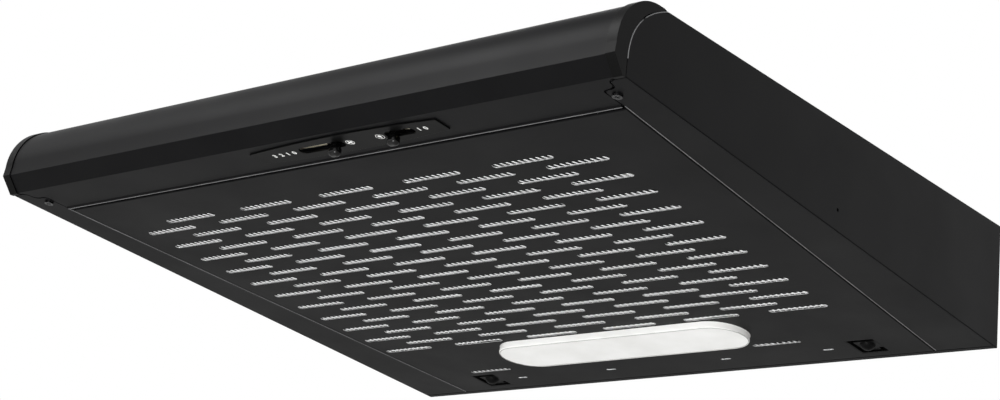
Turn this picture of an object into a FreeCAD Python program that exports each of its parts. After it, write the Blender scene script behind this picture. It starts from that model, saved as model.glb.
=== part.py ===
import FreeCAD, Part
import os
from math import cos, degrees, pi, radians, sin, tan

from FreeCAD import Placement, Rotation, Vector

# An under cabinet range hood, 600 mm wide: a folded sheet casing with a slotted grille door, a blower that
# pushes air up through a collar, and two slide switches in the strip below the rounded front.
# Row frame: X to the right seen from the front, -Y to the front, +Y to the wall, +Z up. The origin is the
# centre of the four cabinet screw holes in the flat top. The underside slopes down to the wall, and what
# lies along it is drawn in an underside frame: y along the slope, z square to it, z = 0 on its outside.

os.makedirs("parts", exist_ok=True)
doc = FreeCAD.newDocument("RangeHood")
sheet = doc.addObject("Spreadsheet::Sheet", "Dims")

DIMENSIONS = [
    # casing
    ("half_width", 300), ("rear_face", 265), ("rear_height", 101.7), ("slope", 4.8), ("steel", 0.8),
    ("top_front", -205.6), ("screw_x", 230), ("screw_y", 130), ("screw_hole", 3), ("wall_hole_x", 200),
    ("wall_hole_drop", 24), ("wall_hole", 4), ("seam", 0.1), ("screw", 1.45), ("pilot", 1.6),
    # rounded front, control strip and end caps
    ("front_radius", 40), ("front_arc_y", -214), ("nose_y", -255), ("nose_drop", 47), ("corner_y", -246),
    ("lip_y", -208.5), ("lip_rise", 9), ("lip_bend", 1.8), ("hem", 1.55), ("cap_wide", 8), ("cap_proud", 0.8),
    ("strip_half", 273.5), ("rim_gap", 0.8), ("rim_screw_x", 279.6), ("rim_screw_y", -224),
    # grille door
    ("door_front", -204.5), ("door_rear", 259.5), ("door_half_front", 272.6), ("door_half_rear", 247.5),
    ("door_wall", 8), ("slot_long", 53.5), ("slot_wide", 6), ("row_first", -160), ("row_step", 14.5),
    ("slot_step_six", 82), ("slot_step_five", 84), ("slot_middle", -16.4), ("slot_rows", 22),
    ("side_slot_left", -181), ("side_slot_right", 126.5), ("side_slot_y", 213), ("side_slot_long", 46),
    ("side_slot_wide", 4.6), ("tab_inner", 61), ("tab_outer", 162), ("tab_long", 10), ("tab_wide", 2.6),
    ("lens_x", -7.5), ("lens_y", 177), ("lens_long", 256), ("lens_wide", 57), ("lens_proud", 5),
    ("lamp_rise", 22.5), ("bulb", 10.8), ("mesh_rise", 1.2), ("mesh_thick", 1.4), ("mesh_edge", 5),
    ("mesh_front", -172), ("mesh_rear", 217.5), ("wire", 1),
    ("hinge_y", -200.5), ("hinge_rise", 4), ("hinge_pin", 2), ("running_play", 0.05),
    ("latch_x", 199), ("latch_y", 236.5), ("latch_wide", 27), ("latch_long", 31), ("tray_deep", 7),
    ("tray_wall", 1.2), ("tray_brim", 2), ("bolt_low", 1.4), ("bolt_high", 3.4), ("bolt_half", 6),
    ("bolt_reach", 3.7), ("knob", 6.6),
    # controls
    ("bezel_middle", 50), ("bezel_y", -230), ("bezel_long", 177), ("bezel_end", 16), ("bezel_bulge", 4.2),
    ("bezel_thick", 1.2), ("control_slot", 8.4), ("fan_slot_left", 5), ("fan_slot_right", 48),
    ("lamp_slot_left", 87), ("lamp_slot_right", 113), ("fan_rest", 40), ("lamp_rest", 95),
    ("peg_long", 9.2), ("peg_wide", 7.2), ("peg_deep", 8), ("peg_round", 3.1), ("switch_wide", 13),
    ("switch_low", 4.5), ("switch_high", 18),
    # blower and duct
    ("fan_x", -100), ("fan_y", -12), ("scroll_start", 84), ("scroll_end", 122), ("scroll_top", 3),
    ("scroll_deep", 50), ("plastic", 1.5), ("wheel", 75), ("wheel_inner", 61), ("wheel_deep", 38),
    ("inlet", 64), ("motor", 34), ("shaft", 4), ("duct_y", 150), ("collar", 59.5), ("collar_wall", 1.6),
    ("collar_rise", 34), ("collar_flange", 7), ("collar_play", 1.2), ("flap_rise", 14), ("flap_axis_x", 3),
    ("outlet_half", 64), ("outlet_rear", 216),
]
for number, (alias, size) in enumerate(DIMENSIONS, start=1):
    sheet.set("A%d" % number, alias)
    sheet.set("B%d" % number, str(size))
    sheet.setAlias("B%d" % number, alias)
doc.recompute()
D = {alias: float(sheet.get(alias)) for alias, _ in DIMENSIONS}

SLOPE = radians(D["slope"])
UNDER_DROP = D["rear_height"] - D["rear_face"] * tan(SLOPE)
UNDER = Placement(Vector(0, 0, -UNDER_DROP), Rotation(Vector(1, 0, 0), -D["slope"]))
ROW = Placement()
SIDE = Placement(Vector(0, 0, 0), Rotation(Vector(1, 1, 1), 120))  # a drawing's x, y lie along Y, Z
TONGUE = radians(20)  # where the scroll's wall starts, seen from above
SCROLL_MOUTH = 84
BLADES = 32
CONTROL_SLOTS = [(D["fan_slot_left"], D["fan_slot_right"]), (D["lamp_slot_left"], D["lamp_slot_right"])]
BRACKET_REACH = 80
BRACKET_ANGLES = [radians(90), radians(210), radians(330)]
PEEP = (14, -65)  # Y and Z of a small fixing hole in each side
CABLE = (250, -30)  # X and Z of the cable's way through the rear panel
COLLAR_SCREW_REACH = 63.5
COLLAR_SCREWS = [(COLLAR_SCREW_REACH * cos(turn), D["duct_y"] + COLLAR_SCREW_REACH * sin(turn))
                 for turn in (radians(45), radians(135), radians(225), radians(315))]
ACROSS = "2 * (Dims.half_width - Dims.steel - Dims.seam)"  # what fits between the two side sheets
nodes = []


def under(y, z):
    """Row Y and Z of a point of the underside frame."""
    point = UNDER.multVec(Vector(0, y, z))
    return point.y, point.z


def bind(part, **sizes):
    """Ties properties to expressions of the sheet's cells."""
    for name, expression in sizes.items():
        part.setExpression(name, expression)
    return part


def node(part, label):
    part.Label = label
    nodes.append(part)
    return part


def box(name, x, y, z, frame=ROW, **sizes):
    """A block between three pairs of limits in a frame."""
    block = doc.addObject("Part::Box", name)
    block.Length, block.Width, block.Height = x[1] - x[0], y[1] - y[0], z[1] - z[0]
    block.Placement = frame.multiply(Placement(Vector(x[0], y[0], z[0]), Rotation()))
    return bind(block, **sizes)


def rod(name, radius, start, length, along=Vector(0, 0, 1), frame=ROW, **sizes):
    """A round rod from a point along a direction; radius is a cell's name or a number."""
    cylinder = doc.addObject("Part::Cylinder", name)
    cylinder.Height = length
    if isinstance(radius, str):
        cylinder.setExpression("Radius", radius)
    else:
        cylinder.Radius = radius
    turned = Placement(Vector(*start), Rotation(Vector(0, 0, 1), along))
    cylinder.Placement = frame.multiply(turned)
    return bind(cylinder, **sizes)


def sketch(name, points, frame=ROW):
    """A closed outline: (x, y) ends a straight side, (x, y, via_x, via_y) an arc through the via point."""
    drawing = doc.addObject("Sketcher::SketchObject", name)
    trace(drawing, points)
    drawing.Placement = frame
    return drawing


def trace(drawing, points):
    last = Vector(points[-1][0], points[-1][1], 0)
    for point in points:
        end = Vector(point[0], point[1], 0)
        if len(point) == 4:
            side = Part.Arc(last, Vector(point[2], point[3], 0), end)
        else:
            side = Part.LineSegment(last, end)
        drawing.addGeometry(side, False)
        last = end


def prism(name, points, start, length, frame=ROW, expression=None):
    """The outline extruded square to its plane from start over length."""
    drawing = sketch(name + "Outline", points, frame.multiply(Placement(Vector(0, 0, start), Rotation())))
    solid = doc.addObject("Part::Extrusion", name)
    solid.Base = drawing
    solid.DirMode = "Normal"
    solid.LengthFwd = length
    solid.Solid = True
    if expression:
        solid.setExpression("LengthFwd", expression)
    return solid


def side_prism(name, points, start, length, expression=None):
    """An outline of row Y and Z extruded along X."""
    at = Placement(Vector(start, 0, 0), Rotation()).multiply(SIDE)
    return prism(name, points, 0, length, at, expression)


def fuse(name, *parts):
    joined = doc.addObject("Part::MultiFuse", name)
    joined.Shapes = list(parts)
    joined.Refine = True
    return joined


def cut(name, base, *tools):
    result = doc.addObject("Part::Cut", name)
    result.Base = base
    result.Tool = tools[0] if len(tools) == 1 else fuse(name + "Tools", *tools)
    return result


def group(name, *parts):
    """Like pieces that don't touch, kept as separate solids of one node."""
    held = doc.addObject("Part::Compound", name)
    held.Links = list(parts)
    return held


def mirrored(part, name):
    other = doc.addObject("Part::Mirroring", name)
    other.Source = part
    other.Base = Vector(0, 0, 0)
    other.Normal = Vector(1, 0, 0)
    return other


def body_sketch(body, role, name, outlines, rise=0):
    """A sketch of closed outlines on one of the body's own origin planes."""
    plane = [item for item in body.Origin.OriginFeatures if item.Role == role][0]
    drawing = body.newObject("Sketcher::SketchObject", name)
    drawing.AttachmentSupport = [(plane, "")]
    drawing.MapMode = "FlatFace"
    drawing.AttachmentOffset = Placement(Vector(0, 0, rise), Rotation())
    for points in outlines:
        trace(drawing, points)
    return drawing


def pad(body, drawing, name, expression):
    grown = body.newObject("PartDesign::Pad", name)
    grown.Profile = drawing
    grown.setExpression("Length", expression)
    drawing.Visibility = False
    return grown


def pocket(body, drawing, name, expression, reverse=False):
    """A cut whose direction is checked: it must take something away."""
    doc.recompute()
    before = body.Shape.Volume
    hole = body.newObject("PartDesign::Pocket", name)
    hole.Profile = drawing
    hole.Reversed = reverse
    hole.setExpression("Length", expression)
    doc.recompute()
    if body.Shape.Volume >= before:
        raise RuntimeError(name + " cuts nothing")
    return hole


def stadium(x, y, long, wide):
    """A slot with round ends, centred on a point."""
    end, side = long / 2 - wide / 2, wide / 2
    return [(x + end, y - side), (x + end, y + side, x + long / 2, y), (x - end, y + side),
            (x - end, y - side, x - long / 2, y)]


def circle_points(x, y, radius):
    return [(x + radius, y, x, y - radius), (x - radius, y, x, y + radius)]


# Casing: top, rear and side panels -------------------------------------------------------------------------

def top_panel():
    """The flat sheet that is screwed to the cabinet, with its four screw holes and the duct hole."""
    inside = D["half_width"] - D["steel"] - D["seam"]
    plate = box("TopSheet", (-inside, inside), (D["top_front"], D["rear_face"] - D["steel"] - D["seam"]),
                (-D["steel"], 0), Length=ACROSS, Height="Dims.steel")
    drills = [rod("DuctHole", "Dims.collar + Dims.collar_play", (0, D["duct_y"], -5), 10)]
    for x in (-D["screw_x"], D["screw_x"]):
        for y in (-D["screw_y"], D["screw_y"]):
            drills.append(rod("CabinetHole", "Dims.screw_hole", (x, y, -5), 10))
    for x, y in housing_lugs() + COLLAR_SCREWS:
        drills.append(rod("ScrewHole", "Dims.pilot", (x, y, -5), 10))
    return node(cut("TopPanel", plate, *drills), "top_panel")


def rear_panel():
    """The upright sheet against the wall."""
    inside = D["half_width"] - D["steel"] - D["seam"]
    back, inner = D["rear_face"], D["rear_face"] - D["steel"]
    head = -D["steel"] - D["seam"]
    foot = under(back / cos(SLOPE), D["steel"])[1] + 2 * D["seam"]
    plate = side_prism("RearSheet", [(back, head), (back, foot), (inner, foot), (inner, head)],
                       -inside, 2 * inside, ACROSS)
    drills = [rod("WallHole", "Dims.wall_hole", (x, back + 5, -D["wall_hole_drop"]), 10, Vector(0, -1, 0))
              for x in (-D["wall_hole_x"], D["wall_hole_x"])]
    drills.append(rod("CableHole", 7, (CABLE[0], back + 5, CABLE[1]), 10, Vector(0, -1, 0)))
    return node(cut("RearPanel", plate, *drills), "rear_panel")


def rear_lip():
    """The strip spot-welded under the rear sheet's foot, which the latch bolts rest on."""
    inside = D["half_width"] - D["steel"] - D["seam"]
    back, front, steel = D["rear_face"], D["door_rear"] + 1, D["steel"]
    foot = under(back / cos(SLOPE), 0)[1]
    section = [(back, foot), (back, foot + steel), under(front, steel), under(front, 0)]
    return node(side_prism("RearLip", section, -inside, 2 * inside, ACROSS), "rear_lip")


def strip_end(grow):
    """The curved end of the control strip in plan, from the cap back to its straight side."""
    edge, last = D["strip_half"] + grow, -228 + grow
    return [(291 + grow, -243.2 + grow),
            (285 + grow, -237.5 + grow, 286.6 + grow, -241.4 + grow),
            (278.5 + grow, -232.4 + grow, 283 + grow, -233.8 + grow),
            (edge, last, edge + 1.3, last - 3.2)]


def side_panels():
    """A side sheet with a round front edge, a flange under the top and a tapered rim along the underside."""
    wide, steel, back = D["half_width"], D["steel"], D["rear_face"]
    outline = [(back, 0), (-204, 0), (-204, -1.2), (-242.2, -46.5, -233.2, -19), under(-243.2, 0),
               under(back / cos(SLOPE), 0)]
    web = side_prism("SideWeb", outline, wide - steel, steel, "Dims.steel")
    gap = D["rim_gap"]
    rim_points = [(wide, -242.4), (292.6, -242.4)] + strip_end(gap) + [
        (D["strip_half"] + gap, D["door_front"]), (D["door_half_rear"] + 2 * gap, D["door_rear"]),
        (wide, D["door_rear"])]
    rim = prism("SideRim", rim_points, 0, steel, UNDER, "Dims.steel")
    flange = box("SideTopFlange", (wide - 15, wide - steel / 2), (-188, back - 4),
                 (-2 * steel - D["seam"], -steel - D["seam"]))
    whole = fuse("SideSheet", web, rim, flange)
    drill = rod("RimScrewHole", 1.7, (D["rim_screw_x"], D["rim_screw_y"], -3), 8, frame=UNDER)
    peep = rod("SidePeepHole", 1.3, (wide - 5, PEEP[0], PEEP[1]), 10, Vector(1, 0, 0))
    right = node(cut("RightSide", whole, drill, peep), "right_side_panel")
    node(mirrored(right, "LeftSide"), "left_side_panel")


# Rounded front ---------------------------------------------------------------------------------------------

def front_panel():
    """One sheet: a tab under the top, the round front, the undercut and the flat strip with its lip."""
    steel, radius, middle = D["steel"], D["front_radius"], D["front_arc_y"]
    half, inner, bend = radius * sin(pi / 4), (radius - steel) * sin(pi / 4), D["lip_bend"]
    corner, lip = D["corner_y"], D["lip_y"]
    round_out, round_in = bend * (1 - sin(pi / 4)), bend - (bend - steel) * sin(pi / 4)
    section = [(-190, -2 * steel - 0.1), (-190, -steel - 0.1), (-206, -steel - 0.1), (-206, 0), (middle, 0),
               (middle - radius, -radius, middle - half, half - radius), (D["nose_y"], -D["nose_drop"]),
               under(corner, 0), under(lip - bend, 0),
               under(lip, bend) + under(lip - round_out, round_out), under(lip, D["lip_rise"]),
               under(lip - steel, D["lip_rise"]), under(lip - steel, bend),
               under(lip - bend, steel) + under(lip - round_in, round_in),
               under(corner + 0.5, steel), (D["nose_y"] + 1, -D["nose_drop"] + 0.3),
               (middle - radius + steel, -radius),
               (middle, -steel, middle - inner, inner - radius), (-207, -steel), (-207, -2 * steel - 0.1)]
    long = D["half_width"] - D["cap_wide"] - 0.2
    sheet = side_prism("FrontSheet", section, -long, 2 * long, "2 * (Dims.half_width - Dims.cap_wide - 0.2)")
    hem = rod("LipHem", "Dims.hem", (-D["strip_half"] + 0.5, D["lip_y"] - 1.6, 0.55),
              2 * D["strip_half"] - 1, Vector(1, 0, 0), UNDER)
    skin = fuse("FrontSkin", sheet, hem)
    beyond = [(300, -243.2)] + strip_end(0) + [(D["strip_half"], -200), (300, -200)]
    right_end = prism("StripEnd", beyond, -90, 40)
    windows = [box("ControlWindow", (low - 1.5, high + 1.5), (D["bezel_y"] - 5.2, D["bezel_y"] + 5.2),
                   (-2, 3), UNDER) for low, high in CONTROL_SLOTS]
    shaped = cut("FrontPanel", skin, right_end, mirrored(right_end, "StripEndLeft"), *windows)
    return node(shaped, "front_panel")


def end_caps():
    """A moulded cap that closes each end of the rounded front, with a tongue inside it and a screwed arm."""
    proud, wide, middle = D["cap_proud"], D["half_width"], D["front_arc_y"]
    radius = D["front_radius"] + proud
    half = radius * sin(pi / 4)
    band_points = [(-206.3, 0.3), (-209, proud), (middle, proud),
                   (middle - radius, -D["front_radius"], middle - half, half - D["front_radius"]),
                   (D["nose_y"] - proud, -D["nose_drop"]), under(D["corner_y"] - 0.7, -0.7),
                   under(D["corner_y"] + 2.4, -0.3), (-242.9, -46.5), (-206.3, -1.5, -233.9, -18.6)]
    start = wide - D["cap_wide"]
    band = side_prism("CapBand", band_points, start, D["cap_wide"], "Dims.cap_wide")
    outside = D["front_radius"] - D["steel"] - 0.3
    inside = outside - 2
    turn, back_turn = outside * sin(pi / 4), inside * sin(pi / 4)
    centre = -D["front_radius"]
    tongue_points = [(middle, centre + outside),
                     (middle - outside, centre, middle - turn, centre + turn), (middle - outside, centre - 3),
                     (middle - inside, centre - 3), (middle - inside, centre),
                     (middle, centre + inside, middle - back_turn, centre + back_turn)]
    tongue = side_prism("CapTongue", tongue_points, start - 8, 8.5)
    arm = box("CapArm", (start + 0.1, wide - 1.2), (-245.6, -215), (1.2, 3.4), UNDER)
    tab = box("CapTab", (274.8, wide - 1.2), (-229, -219), (1.2, 3.4), UNDER)
    drill = rod("CapHole", "Dims.pilot", (D["rim_screw_x"], D["rim_screw_y"], 0), 6, frame=UNDER)
    right = node(cut("RightCap", fuse("CapWhole", band, tongue, arm, tab), drill), "right_end_cap")
    node(mirrored(right, "LeftCap"), "left_end_cap")


def rim_screws():
    """The pan-head screws under the rim that hold the end caps' arms."""
    screws = []
    for side in (-1, 1):
        x, y = side * D["rim_screw_x"], D["rim_screw_y"]
        head = rod("RimHead", 3.5, (x, y, -1.7), 1.7, frame=UNDER)
        across = box("RimCross", (x - 2.4, x + 2.4), (y - 0.4, y + 0.4), (-2, -0.9), UNDER)
        along = box("RimCross", (x - 0.4, x + 0.4), (y - 2.4, y + 2.4), (-2, -0.9), UNDER)
        shank = rod("RimShank", "Dims.screw", (x, y, 0), 8, frame=UNDER)
        screws.append(cut("RimScrew", fuse("RimScrewWhole", head, shank), across, along))
    return node(group("RimScrews", *screws), "rim_screws")


# Controls --------------------------------------------------------------------------------------------------

def control_bezel():
    """A thin boat-shaped plate under the strip with a long slot for the fan and a short one for the lamp."""
    low, high = D["bezel_middle"] - D["bezel_long"] / 2, D["bezel_middle"] + D["bezel_long"] / 2
    front, rear = D["bezel_y"] - D["bezel_end"] / 2, D["bezel_y"] + D["bezel_end"] / 2
    outline = [(low, front), (high, front, D["bezel_middle"], front - D["bezel_bulge"]), (high, rear),
               (low, rear, D["bezel_middle"], rear + D["bezel_bulge"])]
    plate = prism("BezelPlate", outline, -D["bezel_thick"], D["bezel_thick"], UNDER, "Dims.bezel_thick")
    slots = []
    for left, right in CONTROL_SLOTS:
        outline = stadium((left + right) / 2, D["bezel_y"], right - left, D["control_slot"])
        slots.append(prism("BezelSlot", outline, -3, 6, UNDER))
    return node(cut("Bezel", plate, *slots), "control_bezel")


def slider(name, label, x, foot):
    """A glossy peg below the bezel, its neck through the slot, and a foot and a tail above the strip."""
    y, long, wide, bend = D["bezel_y"], D["peg_long"] / 2, D["peg_wide"] / 2, D["peg_round"]
    peg = box(name + "Peg", (x - long, x + long), (y - wide, y + wide), (-2 - D["peg_deep"], -2), UNDER,
              Length="Dims.peg_long", Width="Dims.peg_wide", Height="Dims.peg_deep")
    doc.recompute()
    smooth = doc.addObject("Part::Fillet", name + "Smooth")
    smooth.Base = peg
    smooth.Edges = [(number, bend, bend) for number in range(1, len(peg.Shape.Edges) + 1)]
    neck = box(name + "Neck", (x - 2.6, x + 2.6), (y - 2.6, y + 2.6), (-3, 2), UNDER)
    base = box(name + "Foot", (x - foot, x + foot), (y - 4.4, y + 4.4), (1.5, 2.9), UNDER)
    tail = box(name + "Tail", (x - 1.5, x + 1.5), (y - 1.5, y + 1.5), (2.5, 9), UNDER)
    return node(fuse(name, smooth, neck, base, tail), label)


def switch(name, label, low, high, groove):
    """A slide switch on posts above the strip, with a groove for the slider's tail and three terminals."""
    y, half, base, top = D["bezel_y"], D["switch_wide"] / 2, D["switch_low"], D["switch_high"]
    case = box(name + "Case", (low, high), (y - half, y + half), (base, top), UNDER, Width="Dims.switch_wide")
    posts = [rod(name + "Post", 2.2, (x, y, 0.9), base - 0.5, frame=UNDER) for x in (low + 2.6, high - 2.6)]
    blades = [box(name + "Blade", (x - 2.4, x + 2.4), (y - 0.4, y + 0.4), (top - 0.5, top + 7), UNDER)
              for x in (low + 12, (low + high) / 2, high - 12)]
    way = box(name + "Groove", groove, (y - 2.3, y + 2.3), (base - 0.5, base + 6), UNDER)
    return node(cut(name, fuse(name + "Whole", case, *posts, *blades), way), label)


# Grille door -----------------------------------------------------------------------------------------------

def door_half(y):
    """Half the door's width at a place along the slope: it is narrower at the wall."""
    share = (y - D["door_front"]) / (D["door_rear"] - D["door_front"])
    return D["door_half_front"] + share * (D["door_half_rear"] - D["door_half_front"])


def trapezoid(inset):
    front, rear = D["door_front"] + inset, D["door_rear"] - inset
    return [(-door_half(front) + inset, front), (door_half(front) - inset, front),
            (door_half(rear) - inset, rear), (-door_half(rear) + inset, rear)]


def grille_panel():
    """The pressed door: a shallow tray with staggered slots, the lens opening and the latch openings."""
    body = doc.addObject("PartDesign::Body", "GrillePanel")
    pad(body, body_sketch(body, "XY_Plane", "DoorPlate", [trapezoid(0)]), "DoorSheet", "Dims.steel")
    walls = body_sketch(body, "XY_Plane", "DoorWalls", [trapezoid(0), trapezoid(D["steel"])])
    pad(body, walls, "DoorEdge", "Dims.door_wall")
    for count, step, first in ((5, D["slot_step_five"], 0), (6, D["slot_step_six"], 1)):
        y = D["row_first"] + first * D["row_step"]
        across = [D["slot_middle"] + (column - (count - 1) / 2) * step for column in range(count)]
        row = body_sketch(body, "XY_Plane", "SlotRow%d" % count,
                          [stadium(x, y, D["slot_long"], D["slot_wide"]) for x in across])
        slots = pocket(body, row, "Slots%d" % count, "2 * Dims.steel", True)
        rows = body.newObject("PartDesign::LinearPattern", "Rows%d" % count)
        rows.Originals = [slots]
        rows.Direction = (row, ["V_Axis"])
        rows.Occurrences = int(D["slot_rows"] / 2)
        rows.setExpression("Length", "Dims.row_step * (Dims.slot_rows - 2)")
        body.Tip = rows
        doc.recompute()
    lens = stadium(D["lens_x"], D["lens_y"], D["lens_long"] - 3, D["lens_wide"] - 3)
    small = [stadium(x, D["side_slot_y"], D["side_slot_long"], D["side_slot_wide"])
             for x in (D["side_slot_left"], D["side_slot_right"])]
    small += [stadium(x, D["latch_y"], D["tab_long"], D["tab_wide"])
              for x in (-D["tab_outer"], -D["tab_inner"], D["tab_inner"], D["tab_outer"])]
    reach, long = D["latch_wide"] / 2, D["latch_long"] / 2
    for x in (-D["latch_x"], D["latch_x"]):
        small.append([(x - reach, D["latch_y"] - long), (x + reach, D["latch_y"] - long),
                      (x + reach, D["latch_y"] + long), (x - reach, D["latch_y"] + long)])
    openings = body_sketch(body, "XY_Plane", "DoorOpenings", [lens] + small)
    pocket(body, openings, "DoorCuts", "2 * Dims.steel", True)
    side, low, high = D["bolt_half"] + 1, D["bolt_low"] - 0.4, D["bolt_high"] + 0.5
    ways = [[(x - side, low), (x + side, low), (x + side, high), (x - side, high)]
            for x in (-D["latch_x"], D["latch_x"])]
    notches = body_sketch(body, "XZ_Plane", "BoltNotches", ways, 3 - D["door_rear"])
    pocket(body, notches, "BoltCuts", "3.5")
    bore = circle_points(D["hinge_y"], D["hinge_rise"], D["hinge_pin"])
    pins = body_sketch(body, "YZ_Plane", "PinHoles", [bore], D["door_half_front"] + 5)
    pocket(body, pins, "PinCuts", "2 * Dims.door_half_front + 10")
    body.Placement = UNDER
    return node(body, "grille_panel")


def mesh_filter():
    """The grease mesh: a large sheet as far as the lens and a strip beside each end of the lens."""
    edge, front, rear = D["mesh_edge"], D["mesh_front"], D["mesh_rear"]
    middle = D["lens_y"] - D["lens_wide"] / 2 - 3
    start = middle + 0.4
    sheet = [(edge - door_half(front), front), (door_half(front) - edge, front),
             (door_half(middle) - edge, middle), (edge - door_half(middle), middle)]
    pieces = [prism("MeshSheet", sheet, D["mesh_rise"], D["mesh_thick"], UNDER, "Dims.mesh_thick")]
    for side in (-1, 1):
        inner = D["lens_x"] + side * (D["lens_long"] / 2 + 5)
        strip = [(inner, start), (side * (door_half(start) - edge), start),
                 (side * (door_half(rear) - edge), rear), (inner, rear)]
        pieces.append(prism("MeshStrip", strip, D["mesh_rise"], D["mesh_thick"], UNDER, "Dims.mesh_thick"))
    return node(group("MeshFilter", *pieces), "mesh_filter")


def filter_wires():
    """Three wires along the door and two across them that press the mesh down."""
    front, rear = D["mesh_front"], D["lens_y"] - D["lens_wide"] / 2 - 3
    low = D["mesh_rise"] + D["mesh_thick"] + D["wire"] + 0.1
    wires = [rod("FilterWire", "Dims.wire", (x, front - 26, low), rear - front + 25, Vector(0, 1, 0), UNDER)
             for x in (-150, 0, 150)]
    for y in (front + 60, rear - 60):
        half = door_half(y) - 4
        wires.append(rod("FilterWire", "Dims.wire", (-half, y, low + 2.1), 2 * half, Vector(1, 0, 0), UNDER))
    return node(group("FilterWires", *wires), "filter_wires")


def lamp_lens():
    """The moulded lens: a hollow dome that stands out below the door, on a flange above the sheet."""
    x, y, long, wide = D["lens_x"], D["lens_y"], D["lens_long"], D["lens_wide"]
    dome = prism("LensDome", stadium(x, y, long - 4, wide - 4), -D["lens_proud"], D["lens_proud"] + 1.5,
                 UNDER, "Dims.lens_proud + 1.5")
    flange = prism("LensFlange", stadium(x, y, long + 4, wide + 2), 0.9, 1.4, UNDER)
    hollow = prism("LensHollow", stadium(x, y, long - 7, wide - 7), 1.6 - D["lens_proud"], 12, UNDER)
    return node(cut("LampLens", fuse("LensWhole", dome, flange), hollow), "lamp_lens")


def hinge_pins():
    """The two pins at the door's front corners that it swings on."""
    pins = [rod("HingePin", "Dims.hinge_pin", (side * 268, D["hinge_y"], D["hinge_rise"]), 11,
                Vector(side, 0, 0), UNDER) for side in (-1, 1)]
    return node(group("HingePins", *pins), "hinge_pins")


def latch(side, word):
    """A tray set into the door with a knob that slides to the front and pulls its bolt off the rear lip."""
    x, y, wall, brim = side * D["latch_x"], D["latch_y"], D["tray_wall"], D["tray_brim"]
    reach, long, deep = D["latch_wide"] / 2 - 0.2, D["latch_long"] / 2 - 0.2, D["tray_deep"]
    low, high, half = D["bolt_low"], D["bolt_high"], D["bolt_half"]
    shell = box(word + "TrayShell", (x - reach, x + reach), (y - long, y + long), (0.1, deep), UNDER)
    hollow = box(word + "TrayHollow", (x - reach + wall, x + reach - wall),
                 (y - long + wall, y + long - wall), (-1, deep - wall), UNDER)
    edge = box(word + "TrayBrim", (x - reach - brim, x + reach + brim), (y - long - brim, y + long + brim),
               (0.9, 2), UNDER)
    slot = box(word + "TraySlot", (x - half - 0.6, x + half + 0.6), (y, y + long + 4),
               (low - 0.55, high + 0.5), UNDER)
    node(cut(word + "Tray", fuse(word + "TrayWhole", shell, edge), hollow, slot), word + "_latch_tray")
    plate = box(word + "LatchPlate", (x - 10, x + 10), (y - 7, y + 8), (low, high), UNDER)
    bolt = box(word + "LatchBolt", (x - half, x + half), (y, D["door_rear"] + D["bolt_reach"]), (low, high),
               UNDER, Width="Dims.door_rear + Dims.bolt_reach - Dims.latch_y")
    ball = doc.addObject("Part::Sphere", word + "LatchBall")
    ball.setExpression("Radius", "Dims.knob")
    ball.Placement = UNDER.multiply(Placement(Vector(x, y, 3), Rotation()))
    below = box(word + "BallHalf", (x - 8, x + 8), (y - 8, y + 8), (-5, 2), UNDER)
    dome = doc.addObject("Part::Common", word + "LatchKnob")
    dome.Base, dome.Tool = ball, below
    node(fuse(word + "Latch", plate, bolt, dome), word + "_latch")


def hinge_brackets():
    """Ears on the rim that the door's pins turn in."""
    for side, word in ((1, "right"), (-1, "left")):
        low, high = sorted((side * 275.2, side * 277.2))
        ear = box(word + "Ear", (low, high), (D["hinge_y"] - 7, D["hinge_y"] + 7), (0.9, 10), UNDER)
        wing = sorted((side * 275.2, side * 288))
        foot = box(word + "EarFoot", wing, (D["hinge_y"] + 0.5, D["hinge_y"] + 14), (0.9, 2.1), UNDER)
        bore = rod(word + "EarBore", "Dims.hinge_pin + Dims.running_play",
                   (side * 270, D["hinge_y"], D["hinge_rise"]), 20, Vector(side, 0, 0), UNDER)
        node(cut(word + "Bracket", fuse(word + "EarWhole", ear, foot), bore), word + "_hinge_bracket")


# Blower ----------------------------------------------------------------------------------------------------

def spiral(angle, grow=0):
    """The scroll wall's radius: it widens evenly from the tongue, once round."""
    share = (angle - TONGUE) / (2 * pi - TONGUE)
    return D["scroll_start"] + share * (D["scroll_end"] - D["scroll_start"]) + grow


def around_fan(radius, angle):
    return D["fan_x"] + radius * cos(angle), D["fan_y"] + radius * sin(angle)


def housing_lugs():
    """Where the housing is screwed to the top panel."""
    return [around_fan(spiral(radians(turn), 7.2), radians(turn)) for turn in (75, 150, 230, 300)]


def scroll_points(grow):
    """The blower's spiral wall in plan, once round, and its straight channel towards the wall."""
    first = TONGUE + 6 * grow / D["scroll_start"]
    turns = [first + step * (2 * pi - first) / 8 for step in range(9)]
    start = around_fan(spiral(first, grow), first)
    points = [(start[0], SCROLL_MOUTH), start]
    for low, high in zip(turns[0:-1:2], turns[2::2]):
        middle = (low + high) / 2
        points.append(around_fan(spiral(high, grow), high) + around_fan(spiral(middle, grow), middle))
    points.append((points[-1][0], SCROLL_MOUTH))
    return points


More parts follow.
